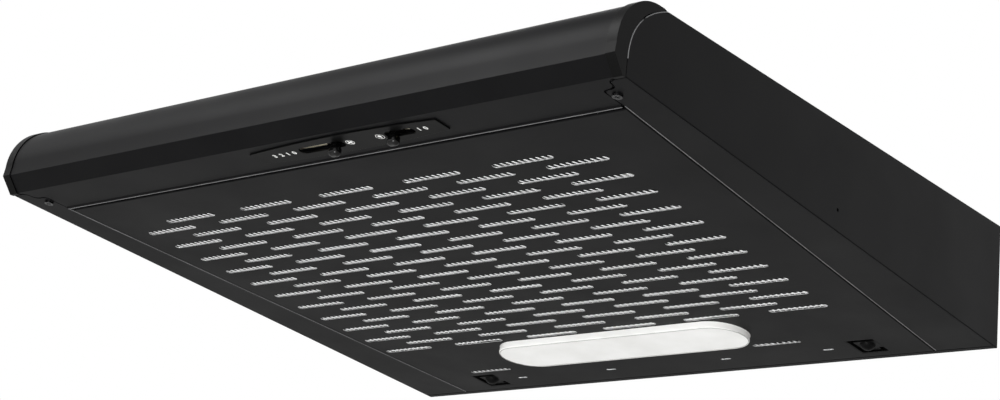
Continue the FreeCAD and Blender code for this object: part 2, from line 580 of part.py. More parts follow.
def blower_housing():
    """The scroll: a moulded spiral box, open below at the inlet and towards the wall at its mouth."""
    top, wall, deep = -D["scroll_top"], D["plastic"], D["scroll_deep"]
    outer = prism("ScrollOuter", scroll_points(wall), top - deep, deep, expression="Dims.scroll_deep")
    inner = prism("ScrollInner", scroll_points(0), top - deep + wall, deep - 2 * wall,
                  expression="Dims.scroll_deep - 2 * Dims.plastic")
    left = around_fan(spiral(TONGUE), TONGUE)[0]
    mouth = box("ScrollMouth", (left, D["fan_x"] + D["scroll_end"]), (SCROLL_MOUTH - 20, SCROLL_MOUTH + 5),
                (top - deep + wall, top - wall))
    inlet = rod("InletHole", "Dims.inlet", (D["fan_x"], D["fan_y"], top - deep - 5), 10)
    lugs = [rod("ScrollLug", 6.5, (x, y, top - 12), 12) for x, y in housing_lugs()]
    shell = cut("ScrollShell", fuse("ScrollWhole", outer, *lugs), inner, mouth, inlet)
    drills = [rod("LugHole", "Dims.pilot", (x, y, top - 14), 16) for x, y in housing_lugs()]
    return node(cut("BlowerHousing", shell, *drills), "blower_housing")


def housing_screws():
    """Screws up through the housing's lugs into the top panel."""
    screws = []
    for x, y in housing_lugs():
        head = rod("HousingHead", 3.2, (x, y, -D["scroll_top"] - 14), 2)
        shank = rod("HousingShank", "Dims.screw", (x, y, -D["scroll_top"] - 12), D["scroll_top"] + 11.8)
        screws.append(fuse("HousingScrew", head, shank))
    return node(group("HousingScrews", *screws), "housing_screws")


def ring(name, profile, x, y):
    """A profile of radius and height turned once round an upright axis."""
    upright = Placement(Vector(0, 0, 0), Rotation(Vector(1, 0, 0), 90))
    turned = doc.addObject("Part::Revolution", name)
    turned.Source = sketch(name + "Profile", profile, upright)
    turned.Axis = Vector(0, 0, 1)
    turned.Base = Vector(0, 0, 0)
    turned.Angle = 360
    turned.Solid = True
    turned.Placement = Placement(Vector(x, y, 0), Rotation())
    return turned


def inlet_ring():
    """The bell mouth that leads the air into the wheel."""
    floor, throat = -D["scroll_top"] - D["scroll_deep"], D["inlet"] - 2.4
    profile = [(throat, floor + 3.5), (throat, floor),
               (throat + 3, floor - 3, throat + 0.9, floor - 2.1),
               (throat + 11, floor - 3), (throat + 11, floor - 0.1), (throat + 9.5, floor - 0.1),
               (throat + 9.5, floor - 1.8), (throat + 3, floor - 1.8),
               (throat + 1.4, floor, throat + 1.8, floor - 1.2), (throat + 1.4, floor + 3.5)]
    return node(ring("InletRing", profile, D["fan_x"], D["fan_y"]), "inlet_ring")


def motor_parts():
    """The motor hangs inside the wheel on a three-armed bracket with rubber bushes."""
    floor = -D["scroll_top"] - D["scroll_deep"]
    low, high = floor - 3.2, floor + 31
    x, y = D["fan_x"], D["fan_y"]
    can = rod("MotorCan", "Dims.motor", (x, y, low + 5), high - low - 5)
    end = rod("MotorEnd", "Dims.motor - 8", (x, y, low), 6)
    hub = rod("MotorHub", 11, (x, y, high - 1), 3)
    bore = rod("MotorBore", "Dims.shaft + Dims.running_play", (x, y, low + 2), 60)
    node(cut("Motor", fuse("MotorWhole", can, end, hub), bore), "motor")
    plate = low - 1.6
    arms, bushes, screws = [rod("BracketDisc", 24, (x, y, plate), 1.5)], [], []
    for angle in BRACKET_ANGLES:
        turned = Placement(Vector(D["fan_x"], D["fan_y"], plate), Rotation(Vector(0, 0, 1), degrees(angle)))
        arms.append(box("BracketArm", (0, BRACKET_REACH + 6), (-6, 6), (0, 1.5), turned))
        x, y = around_fan(BRACKET_REACH, angle)
        bushes.append(cut("Bush", rod("BushBody", 5.5, (x, y, low), floor - low - 0.1),
                          rod("BushHole", 1.7, (x, y, low - 1), 6)))
        screws.append(fuse("BushScrew", rod("BushHead", 3.4, (x, y, low - 3.6), 1.9),
                           rod("BushShank", "Dims.screw", (x, y, low - 2), 4.8)))
    drills = [rod("ArmHole", "Dims.pilot", around_fan(BRACKET_REACH, angle) + (low - 3,), 5)
              for angle in BRACKET_ANGLES]
    node(cut("MotorBracket", fuse("BracketWhole", *arms), *drills), "motor_bracket")
    node(group("MotorBushes", *bushes), "motor_bushes")
    node(group("BracketScrews", *screws), "bracket_screws")


def impeller():
    """The squirrel-cage wheel: a hub plate above, blades bent forwards and a ring that joins them below."""
    body = doc.addObject("PartDesign::Body", "Impeller")
    top = -D["scroll_top"] - 6
    low = top - D["wheel_deep"]
    disc = body_sketch(body, "XY_Plane", "HubDisc", [circle_points(0, 0, D["wheel"]),
                                                    circle_points(0, 0, D["shaft"])], top - 1.5)
    pad(body, disc, "HubPlate", "Dims.plastic")
    boss = body_sketch(body, "XY_Plane", "HubBoss", [circle_points(0, 0, 9), circle_points(0, 0, D["shaft"])],
                       top - 10)
    pad(body, boss, "Boss", "9")
    wheel, inner = D["wheel"], D["wheel_inner"]
    tip = radians(8)
    blade = [(wheel * cos(tip), wheel * sin(tip)), (inner, 0.6, (wheel + inner) / 2 + 0.4, 2.8),
             (inner, -0.6), (wheel * cos(tip) + 0.2, wheel * sin(tip) - 1.3, (wheel + inner) / 2 + 1.3, 1.5)]
    drawing = body_sketch(body, "XY_Plane", "BladeOutline", [blade], low + 0.5)
    one = pad(body, drawing, "Blade", "Dims.wheel_deep - 1")
    blades = body.newObject("PartDesign::PolarPattern", "Blades")
    blades.Originals = [one]
    blades.Axis = (drawing, ["N_Axis"])
    blades.Occurrences = BLADES
    blades.Angle = 360
    body.Tip = blades
    doc.recompute()
    hoop = body_sketch(body, "XY_Plane", "HoopOutline",
                       [circle_points(0, 0, wheel), circle_points(0, 0, wheel - 4)], low)
    pad(body, hoop, "Hoop", "3")
    body.Placement = Placement(Vector(D["fan_x"], D["fan_y"], 0), Rotation())
    node(body, "impeller")
    floor = -D["scroll_top"] - D["scroll_deep"]
    node(rod("MotorShaft", "Dims.shaft", (D["fan_x"], D["fan_y"], floor + 4), top - floor - 2), "motor_shaft")


def outlet_duct():
    """The open-topped box under the top panel that turns the air up."""
    top, deep, wall = -D["scroll_top"], D["scroll_deep"], D["plastic"]
    half, rear = D["outlet_half"], D["outlet_rear"]
    outer = box("OutletOuter", (-half, half), (SCROLL_MOUTH - 1.7, rear), (top - deep, top),
                Height="Dims.scroll_deep")
    inner = box("OutletInner", (wall - half, half - wall), (SCROLL_MOUTH - 0.2, rear - wall),
                (top - deep + wall, top + 1))
    left = around_fan(spiral(TONGUE), TONGUE)[0] - wall - 0.4
    right = D["fan_x"] + D["scroll_end"] + wall + 0.2
    entry = box("OutletEntry", (left, right), (SCROLL_MOUTH - 5, SCROLL_MOUTH + 3), (top - deep - 1, top + 1))
    return node(cut("OutletBox", outer, inner, entry), "outlet_duct")


def duct_collar():
    """The round collar above the outlet, with the bead its flaps rest on, its spine and its flange."""
    radius, rise, y = D["collar"], D["collar_rise"], D["duct_y"]
    inside, rim = radius - D["collar_wall"], radius + D["collar_flange"]
    profile = [(radius, -0.9), (radius, rise), (inside, rise), (inside, 12.6), (inside - 2.5, 12.6),
               (inside - 2.5, 11.1), (inside, 8.6), (inside, -2.5), (rim, -2.5), (rim, -0.9)]
    tube = ring("CollarTube", profile, 0, y)
    spine = box("FlapSpine", (-1.2, 1.2), (y - radius + 1, y + radius - 1), (9, 18))
    drills = [rod("FlapBore", 1 + D["running_play"], (side * D["flap_axis_x"], y - 70, D["flap_rise"]), 140,
                  Vector(0, 1, 0)) for side in (-1, 1)]
    holes = [rod("CollarHole", "Dims.pilot", (x, place, -5), 8) for x, place in COLLAR_SCREWS]
    return node(cut("DuctCollar", fuse("CollarWhole", tube, spine), *drills, *holes), "duct_collar")


def collar_screws():
    """The four screws up through the collar's flange into the top panel."""
    screws = []
    for x, y in COLLAR_SCREWS:
        head = rod("CollarHead", 2.9, (x, y, -2.9), 0.35)
        shank = rod("CollarShank", "Dims.screw", (x, y, -2.8), 2.7)
        screws.append(fuse("CollarScrew", head, shank))
    return node(group("CollarScrews", *screws), "collar_screws")


def flap(side, word):
    """Half a disc on an axle beside the collar's spine: the air lifts it, and it falls shut."""
    y, rise, axis = D["duct_y"], D["flap_rise"], side * D["flap_axis_x"]
    disc = rod(word + "FlapDisc", "Dims.collar - Dims.collar_wall - 0.9", (0, y, rise - 0.5), 1)
    low, high = sorted((axis - side * 0.5, side * 80))
    half = box(word + "FlapHalf", (low, high), (y - 54, y + 54), (rise - 3, rise + 3))
    leaf = doc.addObject("Part::Common", word + "FlapLeaf")
    leaf.Base, leaf.Tool = disc, half
    axle = rod(word + "FlapAxle", 1, (axis, y - 58.4, rise), 116.8, Vector(0, 1, 0))
    return node(fuse(word + "Flap", leaf, axle), word + "_flap")


# Electrics and lamp ----------------------------------------------------------------------------------------

def terminal_box():
    """The box under the top where the supply joins the wiring, its lid and its screw block."""
    x, y = (132, 208), (30, 92)
    shell = box("TerminalShell", x, y, (-30, -1.8))
    hollow = box("TerminalHollow", (x[0] + 2, x[1] - 2), (y[0] + 2, y[1] - 2), (-32, -4))
    way = rod("TerminalWay", 4, (170, y[1] + 2, -18), 6, Vector(0, -1, 0))
    exit_way = rod("TerminalExit", 4, (170, y[0] - 2, -18), 6, Vector(0, 1, 0))
    node(cut("TerminalBox", shell, hollow, way, exit_way), "terminal_box")
    lid = box("TerminalLidPlate", (x[0] - 1, x[1] + 1), (y[0] - 1, y[1] + 1), (-31.7, -30.1))
    rib = box("TerminalLidRib", (x[0] + 2.3, x[1] - 2.3), (y[0] + 2.3, y[1] - 2.3), (-30.2, -28))
    rib_hollow = box("TerminalLidHollow", (x[0] + 4, x[1] - 4), (y[0] + 4, y[1] - 4), (-30.1, -27))
    node(cut("TerminalLid", fuse("TerminalLidWhole", lid, rib), rib_hollow), "terminal_box_lid")
    strip = box("TerminalStrip", (146, 194), (54, 70), (-16, -4.1))
    screws = [rod("TerminalWell", 2.6, (x, y, -17), 5) for x in (152, 164, 176, 188) for y in (57.5, 66.5)]
    node(cut("TerminalBlock", strip, *screws), "terminal_block")


def capacitor():
    """The motor's capacitor, held by its stud in a bracket under the top."""
    can = rod("CapacitorCan", 15, (150, -60, -20), 52, Vector(0, 1, 0))
    stud = rod("CapacitorStud", 4, (150, -66, -20), 7, Vector(0, 1, 0))
    tabs = [box("CapacitorTab", (x - 0.4, x + 0.4), (-9, 0), (-23, -17)) for x in (145, 155)]
    node(fuse("Capacitor", can, stud, *tabs), "capacitor")
    plate = box("CapacitorPlate", (126, 174), (-63.6, -62.1), (-38, -1.8))
    wing = box("CapacitorWing", (126, 174), (-63, -46), (-3.2, -1.8))
    hole = rod("CapacitorHole", 4.2, (150, -66, -20), 7, Vector(0, 1, 0))
    node(cut("CapacitorBracket", fuse("CapacitorBracketWhole", plate, wing), hole), "capacitor_bracket")


def cable_gland():
    """The rubber grommet in the rear panel that the supply cable passes through."""
    x, z = CABLE
    back = D["rear_face"]
    flange = rod("GlandFlange", 9.5, (x, back - 3.6, z), 2.6, Vector(0, 1, 0))
    bush = rod("GlandBush", 6.9, (x, back - 1.2, z), 1.2, Vector(0, 1, 0))
    bore = rod("GlandBore", 3.5, (x, back - 8, z), 12, Vector(0, 1, 0))
    return node(cut("CableGland", fuse("GlandWhole", flange, bush), bore), "cable_gland")


def lamp_parts():
    """A folded reflector above the lens with a small bulb in its holder, on an arm from the rear panel."""
    x, y, middle = (-122, 96), (D["lens_y"] - 25, D["lens_y"] + 25), (D["lens_y"], D["lamp_rise"])
    along = Vector(1, 0, 0)
    shell = box("ReflectorShell", x, y, (9.5, 36), UNDER)
    hollow = box("ReflectorHollow", (x[0] + 1, x[1] - 1), (y[0] + 1, y[1] - 1), (8, 35), UNDER)
    way = rod("ReflectorWay", 12, (x[0] - 2,) + middle, 5, along, UNDER)
    arm = box("ReflectorArm", (-20, 20), (y[1] - 1, D["rear_face"] - D["steel"] - 2.6), (34.6, 35.8), UNDER)
    foot = box("ReflectorFoot", (-20, 20), (D["rear_face"] - 6.1, D["rear_face"] - 4.9), (34.8, 50), UNDER)
    node(cut("Reflector", fuse("ReflectorWhole", shell, arm, foot), hollow, way), "lamp_reflector")
    rim = rod("HolderRim", 15, (x[0] - 2.2,) + middle, 2, along, UNDER)
    tube = rod("HolderTube", 11.7, (x[0] - 12,) + middle, 34, along, UNDER)
    mouth = rod("HolderMouth", 9.2, (x[0] + 4,) + middle, 30, along, UNDER)
    node(cut("LampHolder", fuse("HolderWhole", rim, tube), mouth), "lamp_holder")
    cap = rod("BulbCap", 6.8, (x[0] + 5,) + middle, 26, along, UNDER)
    glass = rod("BulbGlass", "Dims.bulb", (x[0] + 30,) + middle, 70, along, UNDER)
    end = doc.addObject("Part::Sphere", "BulbEnd")
    end.setExpression("Radius", "Dims.bulb")
    end.Placement = UNDER.multiply(Placement(Vector(x[0] + 100, *middle), Rotation()))
    node(fuse("Bulb", cap, glass, end), "lamp_bulb")


def write_nodes():
    """Checks every object and every sub-part before anything is written."""
    doc.recompute()
    failed = [item.Name for item in doc.Objects if "Invalid" in item.State or "Error" in item.State]
    if failed:
        raise RuntimeError("failed objects: " + ", ".join(failed))
    for part in nodes:
        shape = part.Shape
        if shape.isNull() or not shape.isValid() or not shape.Solids:
            raise RuntimeError(part.Label + " has no valid shape")
    for part in nodes:
        part.Shape.exportStep("parts/" + part.Label + ".step")
        print("%-22s %d solid(s) %9.0f mm3" % (part.Label, len(part.Shape.Solids), part.Shape.Volume))


top_panel()
rear_panel()
rear_lip()
side_panels()
front_panel()
end_caps()
rim_screws()
control_bezel()
slider("FanSlider", "fan_slider", D["fan_rest"], 10)
slider("LampSlider", "lamp_slider", D["lamp_rest"], 6)
switch("FanSwitch", "fan_switch", -5, 59, (8, 45))
switch("LampSwitch", "lamp_switch", 77, 122, (90, 110))
grille_panel()
mesh_filter()
filter_wires()
lamp_lens()
hinge_pins()
latch(1, "right")
latch(-1, "left")
hinge_brackets()
blower_housing()
housing_screws()
inlet_ring()
motor_parts()
impeller()
outlet_duct()
duct_collar()
collar_screws()
flap(1, "right")
flap(-1, "left")
terminal_box()
capacitor()
cable_gland()
lamp_parts()
write_nodes()
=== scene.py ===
from math import cos, pi, radians, sin, tan

import bmesh
import bpy
from mathutils import Matrix, Vector


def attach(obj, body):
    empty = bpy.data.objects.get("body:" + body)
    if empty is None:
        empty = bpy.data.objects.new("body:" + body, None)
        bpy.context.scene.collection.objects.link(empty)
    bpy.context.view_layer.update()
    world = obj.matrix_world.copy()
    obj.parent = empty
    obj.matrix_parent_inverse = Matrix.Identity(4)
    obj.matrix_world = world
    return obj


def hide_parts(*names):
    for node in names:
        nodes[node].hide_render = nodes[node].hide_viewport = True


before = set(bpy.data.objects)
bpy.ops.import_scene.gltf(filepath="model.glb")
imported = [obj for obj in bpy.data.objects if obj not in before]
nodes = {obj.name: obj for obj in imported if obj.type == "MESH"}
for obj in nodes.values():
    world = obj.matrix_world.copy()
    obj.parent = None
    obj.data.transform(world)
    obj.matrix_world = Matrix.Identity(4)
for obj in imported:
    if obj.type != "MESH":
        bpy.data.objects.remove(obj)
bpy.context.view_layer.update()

scene = bpy.context.scene

# Studio -----------------------------------------------------------------------------------------------------
# A pale floor well below the hood, and a surround that is white to well above the horizon and grey overhead.
# Three soft boxes: a high one for the rounded front, a low one for the lens and the mesh, a weak one behind.


def linear(hex_colour):
    """An sRGB hex colour as linear RGBA."""
    parts = [int(hex_colour[place:place + 2], 16) / 255 for place in (1, 3, 5)]
    straight = [part / 12.92 if part <= 0.04045 else ((part + 0.055) / 1.055) ** 2.4 for part in parts]
    return tuple(straight) + (1.0,)


def add(tree, kind, links=None, **settings):
    """Adds a node: settings name its properties or inputs, links join inputs to other nodes' outputs."""
    made = tree.nodes.new(kind)
    for name, value in settings.items():
        if hasattr(made, name):
            setattr(made, name, value)
        else:
            made.inputs[name.replace("_", " ")].default_value = value
    for name, output in (links or {}).items():
        tree.links.new(output, made.inputs[name])
    return made


surround = bpy.data.worlds.new("studio_surround")
surround.use_nodes = True
tree = surround.node_tree
tree.nodes.clear()
where = add(tree, "ShaderNodeTexCoord")
height = add(tree, "ShaderNodeSeparateXYZ", {"Vector": where.outputs["Generated"]})
fall = add(tree, "ShaderNodeValToRGB", {"Fac": height.outputs["Z"]})
fall.color_ramp.elements[0].position, fall.color_ramp.elements[0].color = 0.6, linear("#ffffff")
fall.color_ramp.elements[1].position, fall.color_ramp.elements[1].color = 0.85, linear("#5c5c5e")
glow = add(tree, "ShaderNodeBackground", {"Color": fall.outputs["Color"]}, Strength=1.0)
add(tree, "ShaderNodeOutputWorld", {"Surface": glow.outputs["Background"]})
scene.world = surround
scene.view_settings.view_transform = "Standard"

FLOOR_DROP, FLOOR_REACH = 0.92, 14
sheet = bmesh.new()
bmesh.ops.create_grid(sheet, x_segments=2, y_segments=2, size=FLOOR_REACH)
bmesh.ops.translate(sheet, verts=sheet.verts, vec=(0, 0, -FLOOR_DROP))
floor_mesh = bpy.data.meshes.new("studio_floor")
sheet.to_mesh(floor_mesh)
sheet.free()
floor = bpy.data.objects.new("studio_floor", floor_mesh)
scene.collection.objects.link(floor)
paper = bpy.data.materials.new("matt_floor")
paper.use_nodes = True
tree = paper.node_tree
tree.nodes.clear()
paint = add(tree, "ShaderNodeBsdfPrincipled", Base_Color=linear("#dcdcdb"), Roughness=0.9)
add(tree, "ShaderNodeOutputMaterial", {"Surface": paint.outputs["BSDF"]})
floor_mesh.materials.append(paper)


def soft_box(name, place, aim, size, power):
    """A square light in a place, turned to face the point it is aimed at."""
    lamp = bpy.data.lights.new(name, "AREA")
    lamp.shape, lamp.size, lamp.energy = "SQUARE", size, power
    made = bpy.data.objects.new(name, lamp)
    made.location = place
    made.rotation_euler = (Vector(aim) - Vector(place)).to_track_quat("-Z", "Y").to_euler()
    made.visible_camera = False
    scene.collection.objects.link(made)


soft_box("front_box", place=(-1.3, -1.9, 1.95), aim=(0.05, -0.25, -0.03), size=1.5, power=72)
soft_box("low_box", place=(0.5, -1.7, -0.75), aim=(0, 0, -0.07), size=0.9, power=34)
soft_box("back_box", place=(-1.6, 2.2, 1.5), aim=(0, 0, -0.05), size=1.4, power=10)

# A long lens, below the hood and to its right, a little rolled.
view = bpy.data.cameras.new("camera")
view.lens, view.sensor_width, view.shift_x = 74.55, 36, -0.1
camera = bpy.data.objects.new("camera", view)
camera.location = (1.03404, -1.17981, -0.53286)
camera.rotation_euler = [radians(turn) for turn in (108.3246, -5.0816, 36.8108)]
scene.collection.objects.link(camera)
scene.camera = camera

# Casing -----------------------------------------------------------------------------------------------------
# The top, rear, side and front panels: 0.8 mm steel, folded, then powder coated satin black all over. The
# baked coat leaves a faint orange peel and rounds every cut edge.


def per_mm(size):
    """The scale of a noise whose grain is this many millimetres."""
    return 1000 / size


def grained(name, dark, light, patch, smooth, rough, grain, depth, strength, **settings):
    """A surface with patches, patch mm across, between two colours and two roughnesses, and a fine relief.

    Grain is the relief's size and depth its height, in mm; settings are the Principled shader's own inputs.
    The cloud that makes the patches seldom leaves 0.3 to 0.7, so its ends are set there or within.
    """
    made = bpy.data.materials.new(name)
    made.use_nodes = True
    tree = made.node_tree
    tree.nodes.clear()
    surface = add(tree, "ShaderNodeBsdfPrincipled", **settings)
    add(tree, "ShaderNodeOutputMaterial", {"Surface": surface.outputs["BSDF"]})
    place = add(tree, "ShaderNodeTexCoord").outputs["Object"]
    cloud = add(tree, "ShaderNodeTexNoise", {"Vector": place}, Scale=per_mm(patch), Detail=4.0).outputs["Fac"]
    colour = add(tree, "ShaderNodeValToRGB", {"Fac": cloud})
    colour.color_ramp.elements[0].position, colour.color_ramp.elements[0].color = 0.35, linear(dark)
    colour.color_ramp.elements[1].position, colour.color_ramp.elements[1].color = 0.65, linear(light)
    tree.links.new(colour.outputs["Color"], surface.inputs["Base Color"])
    gloss = add(tree, "ShaderNodeMapRange", {"Value": cloud}, From_Min=0.3, From_Max=0.7, To_Min=smooth,
                To_Max=rough)
    tree.links.new(gloss.outputs["Result"], surface.inputs["Roughness"])
    fine = add(tree, "ShaderNodeTexNoise", {"Vector": place}, Scale=per_mm(grain), Detail=3.0).outputs["Fac"]
    relief = add(tree, "ShaderNodeBump", {"Height": fine}, Strength=strength, Distance=depth / 1000)
    tree.links.new(relief.outputs["Normal"], surface.inputs["Normal"])
    return made


def coat(names, finish):
    """Gives CAD nodes a finish."""
    for name in names.split():
        for held in nodes[name].material_slots:
            held.material = finish


def rounded(shape, sides, edge, steps):
    """Rounds some of a shape's edges by this many millimetres."""
    bmesh.ops.bevel(shape, geom=sides, offset=edge / 1000, offset_type="OFFSET", segments=steps, profile=0.5,
                    affect="EDGES", clamp_overlap=True, material=-1)


def placed(name, shape, finish, body):
    """Makes a finished shape a piece that rides on a body."""
    mesh = bpy.data.meshes.new(name)
    shape.to_mesh(mesh)
    shape.free()
    mesh.materials.append(finish)
    piece = bpy.data.objects.new(name, mesh)
    scene.collection.objects.link(piece)
    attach(piece, body)
    return piece


# A fold joins two broad faces along a long edge; what turns less than SHARP_TURN is shaded smooth.
SAME_POINT, FLAT_TURN, EDGE_TURN, SHARP_TURN = 2e-6, radians(0.6), radians(32), radians(50)
FOLD_TURN, FOLD_LONG, FOLD_FACE, FOLD_STEPS = radians(60), 0.15, 0.0015, 4


def softened(name, finish, body, edge=0.25, steps=2, fold=0.0):
    """The piece a CAD node stands for, with its facets smoothed, its folds bent and its edges rounded."""
    shape = bmesh.new()
    shape.from_mesh(nodes[name].data)
    bmesh.ops.remove_doubles(shape, verts=shape.verts, dist=SAME_POINT)
    bmesh.ops.dissolve_limit(shape, angle_limit=FLAT_TURN, verts=shape.verts, edges=shape.edges)
    if fold:
        rounded(shape, [side for side in shape.edges if len(side.link_faces) == 2 and side.is_convex
                        and side.calc_length() > FOLD_LONG and side.calc_face_angle() > FOLD_TURN
                        and min(face.calc_area() for face in side.link_faces) > FOLD_FACE], fold, FOLD_STEPS)
    rounded(shape, [side for side in shape.edges if len(side.link_faces) == 2
                    and side.calc_face_angle() > EDGE_TURN], edge, steps)
    for face in shape.faces:
        face.smooth = True
    for side in shape.edges:
        side.smooth = len(side.link_faces) == 2 and side.calc_face_angle() < SHARP_TURN
    piece = placed(name + "_rounded", shape, finish, body)
    piece.modifiers.new("even_normals", "WEIGHTED_NORMAL").keep_sharp = True
    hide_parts(name)


# Polyester powder, sprayed and baked: a low satin black, with orange peel about 1.6 mm across.
black_powder = grained("black_powder_coat", "#060607", "#0a0a0b", patch=60,
                       smooth=0.42, rough=0.5, grain=1.6, depth=0.02, strength=0.12,
                       Specular_IOR_Level=0.068)
PANELS = "top_panel rear_panel rear_lip left_side_panel right_side_panel front_panel"
for panel in PANELS.split():
    softened(panel, black_powder, "casing", edge=0.3, fold=1.0)

# End caps ---------------------------------------------------------------------------------------------------
# Two caps moulded in black ABS close the ends of the rounded front. Their skin is fine spark-eroded grain,
# deeper black than the coated steel.

# ABS from an eroded mould: an even matt black with a grain of half a millimetre.
black_abs = grained("black_moulded_abs", "#040404", "#070707", patch=25,
                    smooth=0.4, rough=0.48, grain=0.5, depth=0.012, strength=0.15,
                    Specular_IOR_Level=0.07)
for cap in ("left_end_cap", "right_end_cap"):
    softened(cap, black_abs, "casing", edge=0.5, steps=3)

# Edge lines -------------------------------------------------------------------------------------------------
# A painted highlight: a thin satin grey line along the strip's lip, the rims' inner edges and the round
# front edge of each side, standing in for the light that these rolled edges catch.

SLOPE = radians(4.8)
REAR_HIGH, REAR_BACK = 0.1017, 0.265
UNDER_DROP = REAR_HIGH - REAR_BACK * tan(SLOPE)
LINE_RADIUS, LINE_SIDES = 0.00042, 6


def under(x, y, z):
    """A point on the hood's sloping underside: millimetres across, along the slope and square to it."""
    x, y, z = x / 1000, y / 1000, z / 1000
    return Vector((x, y * cos(SLOPE) + z * sin(SLOPE), -UNDER_DROP - y * sin(SLOPE) + z * cos(SLOPE)))


def edge_line(name, path, finish, body="casing"):
    """A thin round line along a path."""
    shape = bmesh.new()
    turns = [turn * 2 * pi / LINE_SIDES for turn in range(LINE_SIDES)]
    rings = []
    for place, point in enumerate(path):
        ahead = (path[min(place + 1, len(path) - 1)] - path[max(place - 1, 0)]).normalized()
        side = ahead.orthogonal().normalized()
        lift = ahead.cross(side)
        rings.append([shape.verts.new(point + LINE_RADIUS * (cos(turn) * side + sin(turn) * lift))
                      for turn in turns])
    for here, there in zip(rings, rings[1:]):
        for turn in range(LINE_SIDES):
            after = (turn + 1) % LINE_SIDES
            shape.faces.new((here[turn], here[after], there[after], there[turn]))
    for face in shape.faces:
        face.smooth = True
    bmesh.ops.recalc_face_normals(shape, faces=shape.faces)
    placed(name, shape, finish, body)


def arc(start, via, end, steps=14):
    """A smooth curve from one point to another that passes a third."""
    pull = 2 * via - (start + end) / 2
    shares = [step / steps for step in range(steps + 1)]
    return [(1 - share) ** 2 * start + 2 * share * (1 - share) * pull + share ** 2 * end for share in shares]


# On the underside in millimetres, as under() takes them; on the sides in metres.
LIP_HALF, LIP_FRONT, LIP_HANG = 273, -209.6, -0.85
RIM_FRONT, RIM_REAR, RIM_RISE = (274.6, -209), (249.3, 259), 0.1
SIDE_FACE = 0.2998
SIDE_BEND = ((-0.205, -0.0002), (-0.2331, -0.019), (-0.2421, -0.0465))

# Painted highlight: a light satin grey standing in for the light that a rolled edge catches.
edge_highlight_paint = grained("painted_highlight_on_edges", "#59595a", "#747475", patch=30,
                    smooth=0.4, rough=0.5, grain=1.2, depth=0.01, strength=0.1)
edge_line("lip_line", [under(x, LIP_FRONT, LIP_HANG) for x in (-LIP_HALF, 0, LIP_HALF)], edge_highlight_paint)
for side in (-1, 1):
    rim = [under(side * x, y, RIM_RISE) for x, y in (RIM_FRONT, RIM_REAR)]
    edge_line("rim_line_%d" % (side + 1), rim, edge_highlight_paint)
    bend = [Vector((side * SIDE_FACE, y, z)) for y, z in SIDE_BEND]
    edge_line("side_line_%d" % (side + 1), arc(*bend), edge_highlight_paint)

# Controls ---------------------------------------------------------------------------------------------------
# A thin moulded plate under the strip with printed white marks, two glossy pegs that slide in it, and the
# slide switches above.

softened("control_bezel", black_abs, "casing", edge=0.3)

# ABS from a polished mould: black, with small sharp highlights.
polished_knob = grained("polished_black_knob", "#030303", "#050505", patch=12,
                        smooth=0.08, rough=0.14, grain=0.8, depth=0.004, strength=0.05,
                        Specular_IOR_Level=0.3)
softened("fan_slider", polished_knob, "fan_knob", edge=0.2)
softened("lamp_slider", polished_knob, "lamp_knob", edge=0.2)

PRINT_PROUD = 1.24
BEZEL_LINE = -230
NAMES_FROM = 100
DIGIT_HIGH, DIGIT_THICK, DIGIT_BOLD = 0.0058, 0.00003, 0.00018
DIGITS = (("3", -20), ("2", -13.4), ("1", -7), ("0", -0.8), ("1", 117.6), ("0", 123.4))

# Pad printing ink: a thin opaque white with a slightly broken surface.
white_ink = grained("white_pad_print", "#d8d8d6", "#ececea", patch=3,
                    smooth=0.4, rough=0.6, grain=0.3, depth=0.004, strength=0.1)


def printed(name, shape, x):
    """Puts a flat mark under the bezel, to be read from below with its head to the front."""
    turn = Matrix(((1, 0, 0), (0, -cos(SLOPE), -sin(SLOPE)), (0, sin(SLOPE), -cos(SLOPE)))).to_4x4()
    shape.transform(Matrix.Translation(under(x, BEZEL_LINE, -PRINT_PROUD)) @ turn)
    placed(name, shape, white_ink, "casing")


def digit(text, x):
    """Prints one digit; its name ends in its place along the bezel, so that the two 1s and 0s differ."""
    curve = bpy.data.curves.new("digit", "FONT")
    curve.body, curve.size, curve.align_x, curve.align_y = text, DIGIT_HIGH, "CENTER", "CENTER"
    curve.extrude, curve.offset = DIGIT_THICK, DIGIT_BOLD
    holder = bpy.data.objects.new("digit", curve)
    scene.collection.objects.link(holder)
    mesh = bpy.data.meshes.new_from_object(holder)
    bpy.data.objects.remove(holder)
    shape = bmesh.new()
    shape.from_mesh(mesh)
    printed("print_%s_%d" % (text, x + NAMES_FROM), shape, x)


for text, x in DIGITS:
    digit(text, x)

RING_RADIUS, RING_WIDE = 0.0034, 0.0004
FAN_MARK, LAMP_MARK = 53.4, 81.6
BLADES, BLADE_OUT, BLADE_HALF, BLADE_FLAT, BLADE_LEAN = 4, 0.0015, 0.0013, 0.62, 0.4
GLOBE_UP, GLOBE_HALF = 0.0006, 0.0015
CAP_DOWN, CAP_HALF, CAP_FLAT = 0.0018, 0.0008, 0.8


def ring_mark(shape):
    """A flat ring round a mark."""
    rim = bmesh.ops.create_circle(shape, radius=RING_RADIUS, segments=32)["verts"]
    inner = bmesh.ops.create_circle(shape, radius=RING_RADIUS - RING_WIDE, segments=32)["verts"]
    sides = [side for side in shape.edges if all(end in rim or end in inner for end in side.verts)]
    bmesh.ops.bridge_loops(shape, edges=sides)


def dot_mark(shape, x, y, radius, flat=1.0, turn=0.0):
    """A flat dot or oval, turned about the middle of its mark."""
    dot = bmesh.ops.create_circle(shape, cap_ends=True, radius=radius, segments=16)["verts"]
    bmesh.ops.scale(shape, verts=dot, vec=(1, flat, 1))
    bmesh.ops.translate(shape, verts=dot, vec=(x, y, 0))
    bmesh.ops.rotate(shape, verts=dot, cent=(0, 0, 0), matrix=Matrix.Rotation(turn, 3, "Z"))


